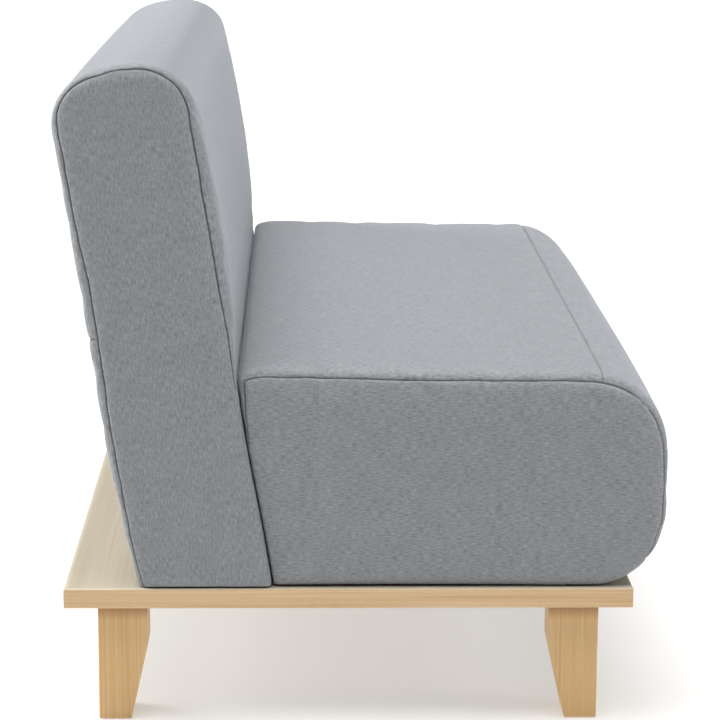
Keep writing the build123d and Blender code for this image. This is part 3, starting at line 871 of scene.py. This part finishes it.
def back_end_push(place, outward):
    """How far the end seam lies outside the plain outline."""
    up, forward = back_place(place)
    if outward.yz.dot(LEAN_UP) > 0.3:
        return DOME * hump(forward, 80 * MM, 75 * MM)
    if outward.yz.dot(LEAN_FORWARD) < -0.9:
        low = between((0.265 - up) / 0.06) * min(up / 0.05, 1.0)
        return REAR_BULGE * low - REAR_TUCK * hump(up, 0.37, 0.12)
    if outward.yz.dot(LEAN_FORWARD) > 0.9:
        return -hollow_at(up)
    return 0.0


# %% [markdown]
# ## How full the back is
# The back's front is flat behind the seat cushion and has its belly above it. Its rear bulges most
# below the sewn line and grows thinner towards the top. Its top is crowned along the sofa's length.
# The real one's top is about 5 mm lower at its far end, and so is this one's.

# %% Fullness of the back cushion
REAR_SEAM_UP = 0.31  # metres up the lean to the line sewn across the rear
BELLY_FOOT_UP = 0.235  # where the back comes clear of the seat cushion
BELLY_LENGTH = 0.33
TILT = 2.5 * MM


def back_rear_fullness(up):
    share = between(up / REAR_SEAM_UP)
    if up < REAR_SEAM_UP:
        return 5.5 * MM + 4.5 * MM * share + 5 * MM * sin(pi * share)
    return 10 * MM - 3 * MM * between((up - REAR_SEAM_UP) / 0.26)


def back_front_fullness(up, crown):
    share = between((up - BELLY_FOOT_UP) / BELLY_LENGTH)
    belly = 0.6 * MM + 8.2 * MM * share + 6.5 * MM * sin(pi * share)
    return belly + 2.5 * MM * crown * min(1.0, share * 4)


def back_fullness(vert, outward, pushed):
    """How far the band lies outside its end seam."""
    up, _ = back_place(vert.co)
    face_up, face_forward = outward.yz.dot(LEAN_UP), outward.yz.dot(LEAN_FORWARD)
    crown = 1 - (vert.co.x / BACK_HALF) ** 2
    tilt = -TILT * vert.co.x / BACK_HALF
    return max(face_up, 0.0) ** 2 * tilt + roll_at(vert.co.x, BACK_HALF) * (
        max(face_up, 0.0) ** 2 * 4.2 * MM
        + max(face_up, 0.0) * 2.2 * MM * crown
        + max(face_forward, 0.0) ** 2 * back_front_fullness(up, crown)
        + max(-face_forward, 0.0) ** 2 * (back_rear_fullness(up) - pushed)
        + max(-face_up, 0.0) ** 2 * 0.6 * MM
    )


def back_pressed(vert, outward):
    """Where the cover is pressed flat, against the deck or against the seat cushion."""
    at_end = BACK_HALF - abs(vert.co.x) < END_ZONE
    low = back_place(vert.co)[0] < (0.23 if at_end else 0.28)
    return outward.z < -0.5 or (low and outward.yz.dot(LEAN_FORWARD) > 0.5)


# %% [markdown]
# ## The back's blank
# The back is made as the seat is, from its heel round by the toe, the front and the rear. One line
# is sewn across its rear, and the main threads of its end panels run up the lean.

# %% Back cushion's blank
back_corners = [
    (lean_at(0, BACK_FOOT_HEIGHT), 4 * MM, 2),
    (lean_at(BACK_FOOT_DEPTH, BACK_FOOT_HEIGHT), 4 * MM, 2),
    (lean_place(BACK_SHOULDER, BACK_THICKNESS), 50 * MM, 8),
    (lean_place(BACK_SHOULDER, 0), 49 * MM, 8),
]
BACK_SIDE_STEPS = [16, 62, 10, 62]  # underside, front, top, rear
back_mesh, back_outward, back_pushed = make_blank(
    "back_cushion",
    back_corners,
    BACK_SIDE_STEPS,
    BACK_HALF,
    back_end_push,
    [lean_at(0, BACK_SEAM_HEIGHT)],
    LEAN_UP,
)

# %% [markdown]
# ## Filling out
# The band moves outwards by each cushion's fullness. The end panels swell past their seam as well:
# steeply next to the seam, then flat, as cloth stretched over a block of foam does. A tree of the
# seam's points finds how far each point of an end panel lies from the seam.

# %% Fill out the blanks
END_DOME = 6 * MM
END_DOME_REACH = 31 * MM


def fill_out(name, bm, outward, pushed, fullness, half_length):
    """Moves the band out by its fullness, and the end panels out by their dome."""
    rim = [vert for vert in bm.verts if vert[outward].length > 0.5]
    ends = [vert for vert in rim if half_length - abs(vert.co.x) < TINY]
    tree = KDTree(len(ends))
    for i, vert in enumerate(ends):
        tree.insert(vert.co, i)
    tree.balance()
    moves = []
    for vert in bm.verts:
        if vert[outward].length > 0.5:
            moves.append(vert[outward] * fullness(vert, vert[outward], vert[pushed]))
            continue
        _, _, distance = tree.find(vert.co)
        share = min(distance / END_DOME_REACH, 1.0)
        side = 1 if vert.co.x > 0 else -1
        moves.append(Vector((side * END_DOME * (1 - (1 - share) ** 2) ** 0.5, 0, 0)))
    for vert, move in zip(bm.verts, moves):
        vert.co += move
    print(name, "filled out by up to", round(max(move.length for move in moves) / MM, 1), "mm")


fill_out("seat_cushion", seat_mesh, seat_outward, seat_pushed, seat_fullness, SEAT_HALF)
fill_out("back_cushion", back_mesh, back_outward, back_pushed, back_fullness, BACK_HALF)

# %% [markdown]
# ## Cloth over foam
# A cover is cut a little larger than its foam and drawn in along its seams, so it lies smooth in the
# middle of a panel and gathers into short puckers beside the seams. A cloth simulation finds those
# puckers. The points on the seams are pinned, and so are those pressed flat against the deck or the
# other cushion, and every other point is tied weakly to its place, as if foam pushed back from
# behind. Pressure fills the cover, and the cloth near the seams is made just over one percent
# larger, by an amount that a smooth noise varies. First come the point groups that say all this.

# %% Where the cloth is held and where it is loose
GATHER_REACH = 50 * MM  # how far from a seam the cloth has room to spare
GATHER = 0.013  # how much larger it is there, as a share
END_GATHER = 0.55  # the end seams' part of that, because they are sewn tighter
GATHER_CHANGE = 0.8  # how much the spare cloth varies along a seam, as a share
FOAM_HOLD = 0.1  # how strongly foam keeps a point of the cover in place, out of 1


def seam_tree(bm):
    """A tree of the points that lie on seams, filled in their order, and those points."""
    bm.verts.index_update()
    sewn = {vert for edge in bm.edges if edge.seam for vert in edge.verts}
    tree = KDTree(len(sewn))
    for vert in sorted(sewn, key=lambda vert: vert.index):
        tree.insert(vert.co, vert.index)
    tree.balance()
    return tree, sewn


def make_cover(name, bm, outward, pressed):
    """A copy of the cushion with the point groups that steer its simulation."""
    mesh = bpy.data.meshes.new(name)
    bm.to_mesh(mesh)
    cover = bpy.data.objects.new(name, mesh)
    bpy.context.collection.objects.link(cover)
    tree, sewn = seam_tree(bm)
    furthest_row = max(vert.co.x for vert in sewn) - MM
    held = cover.vertex_groups.new(name="held")
    tight = cover.vertex_groups.new(name="tight")
    for vert in bm.verts:
        pinned = vert in sewn or pressed(vert, vert[outward])
        held.add([vert.index], 1.0 if pinned else FOAM_HOLD, "REPLACE")
        seam_place, _, distance = tree.find(vert.co)
        change = 1 + GATHER_CHANGE * noise.noise(vert.co * 9)
        spare = max(0.0, 1 - distance / GATHER_REACH) * change
        if abs(seam_place.x) > furthest_row:
            spare *= END_GATHER
        tight.add([vert.index], between(1 - spare), "REPLACE")
    return cover


# %% [markdown]
# ## Running the simulation
# Upholstery cloth hardly stretches, bends stiffly and is light, so gravity is left out and the
# stretch springs are strong. The scene is stepped one frame at a time, and the cloth comes to rest
# in 15 frames. Then each point of the block moves to where the cloth lies. A limit keeps any point
# from moving far. The result is in the block's own points, so no Cloth modifier is left on the
# piece.

# %% Cloth simulation
SIM_FRAMES = 15
MOVE_LIMIT = 3.5 * MM


def add_cloth(cover):
    """Gives the cover a Cloth modifier, steered by its point groups."""
    modifier = cover.modifiers.new("cloth", "CLOTH")
    modifier.collision_settings.use_collision = False
    modifier.point_cache.frame_end = SIM_FRAMES
    settings = modifier.settings
    settings.quality = 5
    settings.tension_stiffness = settings.compression_stiffness = 15
    settings.shear_stiffness = 5
    settings.bending_stiffness = 3
    settings.use_pressure = True
    settings.uniform_pressure_force = 2
    settings.vertex_group_mass = "held"
    settings.pin_stiffness = 6
    settings.vertex_group_shrink = "tight"
    settings.shrink_min = -GATHER
    settings.shrink_max = 0
    settings.effector_weights.gravity = 0


def drape(name, bm, outward, pressed):
    """Runs the simulation and moves the block's points to where the cloth comes to rest."""
    cover = make_cover(name, bm, outward, pressed)
    add_cloth(cover)
    for frame_number in range(1, SIM_FRAMES + 1):
        bpy.context.scene.frame_set(frame_number)
    rested = cover.evaluated_get(bpy.context.evaluated_depsgraph_get()).data.vertices
    moves = [rest.co - vert.co for rest, vert in zip(rested, bm.verts)]
    furthest = max(move.length for move in moves)
    for vert, move in zip(bm.verts, moves):
        if move.length > MOVE_LIMIT:
            move.length = MOVE_LIMIT
        vert.co += move
    bpy.data.meshes.remove(cover.data)
    bpy.context.scene.frame_set(1)
    print(name, "moved up to", round(furthest / MM, 2), "mm by the simulation")


drape("seat_cover", seat_mesh, seat_outward, seat_pressed)
drape("back_cover", back_mesh, back_outward, back_pressed)

# %% [markdown]
# ## Seams
# On the real cover two panels are stitched edge to edge, turned inside out, and pulled tight, which
# leaves a thin sunken line between two soft edges. The line wanders by a millimetre, as it does
# where cloth is sewn by hand-guided machine, and more so round the end panels than along the sofa.

# %% Let the seams wander
SEAM_WANDER = 1.6 * MM
LENGTHWISE_WANDER = 0.4  # the share of it that seams along the sofa have


def wander(bm, outward):
    """Lets each stitched line wander a little in the surface it lies in."""
    for vert in {vert for edge in bm.edges if edge.seam for vert in edge.verts}:
        at_end = vert[outward].length > 0.5 and any(
            abs(edge.verts[0].co.x - edge.verts[1].co.x) < MM
            for edge in vert.link_edges
            if edge.seam
        )
        across = Vector((LENGTHWISE_WANDER, 0, 0)).cross(vert[outward])
        sideways = vert[outward] if at_end else across
        slow = 0.8 * noise.noise(vert.co * 22)
        quick = 0.9 * noise.noise(vert.co * 60)
        vert.co += sideways * (slow + quick) * SEAM_WANDER


# %% [markdown]
# ## Sunken seams
# A bevel of the marked edges gives three rows of points, and the middle row is pushed into the
# cushion. Overlaps aren't clamped, because the clamp would narrow every seam to suit the shortest
# edge. Where the cover is pressed flat, no seam shows, and it is left as it is. An attribute called
# seam says how dark the sunken row is, since little light gets in there, and the cloth's material
# reads it. The seams along the sofa are paler than those round the ends.

# %% Sew the seams
SEAM_WIDTH = 1.1 * MM  # from the stitched line to where each panel starts to roll in
SEAM_DEPTH = 2.4 * MM
LENGTHWISE_SHADE = 0.6


def sew(name, bm, outward, pressed, darkness):
    """Sinks the marked seams into the cushion and darkens them."""
    for edge in bm.edges:
        edge.seam = edge.seam and not all(pressed(vert, vert[outward]) for vert in edge.verts)
    wander(bm, outward)
    bm.normal_update()
    tree, sewn = seam_tree(bm)
    furthest_row = max(vert.co.x for vert in sewn) - 2 * SEAM_WANDER
    inwards = {vert.index: -vert.normal.copy() for vert in sewn}
    shade = bm.verts.layers.float.new("seam")
    stitched = [edge for edge in bm.edges if edge.seam]
    bmesh.ops.bevel(
        bm,
        geom=stitched,
        offset=SEAM_WIDTH,
        affect="EDGES",
        segments=2,
        profile=0.5,
        material=-1,
        clamp_overlap=False,
    )
    sunken = 0
    for vert in bm.verts:
        place, index, distance = tree.find(vert.co)
        if distance < 0.8 * SEAM_WIDTH:
            vert.co = place + inwards[index] * SEAM_DEPTH
            at_end = abs(place.x) > furthest_row
            vert[shade] = darkness * (1.0 if at_end else LENGTHWISE_SHADE)
            sunken += 1
    print(name, "has", sunken, "sunken points for", len(sewn), "points on its seams")


sew("seat_cushion", seat_mesh, seat_outward, seat_pressed, darkness=0.75)
sew("back_cushion", back_mesh, back_outward, back_pressed, darkness=1.0)

# %% [markdown]
# ## From block to piece
# The block becomes an object that keeps its own place in its mesh. Faces that look straight down
# get the black lining, and all others the cloth. One level of subdivision rounds off the last
# corners. Each cushion then takes the place of its cover panels, its wadding and its foam blocks
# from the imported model, while the frame, straps and bolts inside stay as they are.

# %% Make the cushions
CLOTH_SLOT, LINING_SLOT = 0, 1


def finish_cushion(name, bm, nodes):
    """Turns the block into a smoothed piece that stands for these nodes."""
    for face in bm.faces:
        face.smooth = True
        face.material_index = LINING_SLOT if face.normal.z < -0.98 else CLOTH_SLOT
    mesh = bpy.data.meshes.new(name)
    bm.to_mesh(mesh)
    bm.free()
    mesh.materials.append(cloth)
    mesh.materials.append(lining)
    piece = bpy.data.objects.new(name, mesh)
    bpy.context.collection.objects.link(piece)
    smooth = piece.modifiers.new("smooth", "SUBSURF")
    smooth.levels = smooth.render_levels = 1
    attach(piece, "root")
    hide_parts(*nodes)
    print(name, "stands for", len(nodes), "nodes")


cushion_nodes = [
    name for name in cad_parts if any(layer in name for layer in CUSHION_LAYERS)
]
seat_nodes = [name for name in cushion_nodes if name.startswith("seat_")]
back_nodes = [name for name in cushion_nodes if name.startswith("back_")]
finish_cushion("seat_cushion", seat_mesh, seat_nodes)
finish_cushion("back_cushion", back_mesh, back_nodes)

# %% [markdown]
# ## The floor
# The photograph shows the sofa on plain white. The floor is a matt white sheet that reaches far
# behind it, so a camera that looks down a little sees nothing but white. The sheet glows a little,
# as on a light table, which keeps the shadow under the sofa pale. A curved backdrop would be white
# from one side only. The world is almost dark, so the lights alone shape the cushions.

# %% Floor and world
FLOOR_REACH = 300  # metres each way, so that low views still end in white
floor_mesh = bmesh.new()
bmesh.ops.create_grid(floor_mesh, x_segments=1, y_segments=1, size=FLOOR_REACH)
floor_data = bpy.data.meshes.new("floor")
floor_mesh.to_mesh(floor_data)
floor_mesh.free()
floor = bpy.data.objects.new("floor", floor_data)
bpy.context.collection.objects.link(floor)
floor_data.materials.append(
    new_material(
        "lit_white_sheet",
        Roughness=0.95,
        Base_Color=(0.53, 0.527, 0.52, 1),
        Emission_Color=(1, 0.995, 0.99, 1),
        Emission_Strength=0.4,
    )
)

world = bpy.data.worlds.new("studio")
world.use_nodes = True
world.node_tree.nodes["Background"].inputs["Color"].default_value = (0.95, 0.97, 1, 1)
world.node_tree.nodes["Background"].inputs["Strength"].default_value = 0.02
bpy.context.scene.world = world
bpy.context.scene.view_settings.view_transform = "Standard"
print("floor reaches", FLOOR_REACH, "m each way")

# %% [markdown]
# ## The lights
# Two wide soft suns overhead stand for a ceiling of light panels, one straight above and one a
# little behind, so the tops are pale and the ends darker. A large panel stands in front of the sofa
# and a stronger one behind it. The rear one lights the deck behind the back cushion, and gives the
# back's rounded top its bright edge. No light stands at the ends, so the near one is even.


# %% Lights
def add_soft_light(name, kind, place, aim, power, **settings):
    """A light at place that shines towards aim. Its angle or size sets how soft its shadows are."""
    data = bpy.data.lights.new(name, kind)
    data.energy = power
    for setting, value in settings.items():
        setattr(data, setting, value)
    light = bpy.data.objects.new(name, data)
    bpy.context.collection.objects.link(light)
    light.location = place
    light.rotation_euler = (Vector(aim) - Vector(place)).to_track_quat("-Z", "Y").to_euler()


add_soft_light("ceiling", "SUN", (0, 0, 4), (0, 0, 0), 3.35, angle=radians(60))
add_soft_light("ceiling_behind", "SUN", (0, 1.6, 4), (0, 0, 0), 1.35, angle=radians(50))
add_soft_light("front", "AREA", (-0.5, -4, 1.6), (0, 0, 0.4), 68, size=3)
add_soft_light("rear", "AREA", (1, 4, 1.6), (0, 0, 0.3), 165, size=2.5)
print("2 soft suns overhead, 1 panel in front and 1 behind")
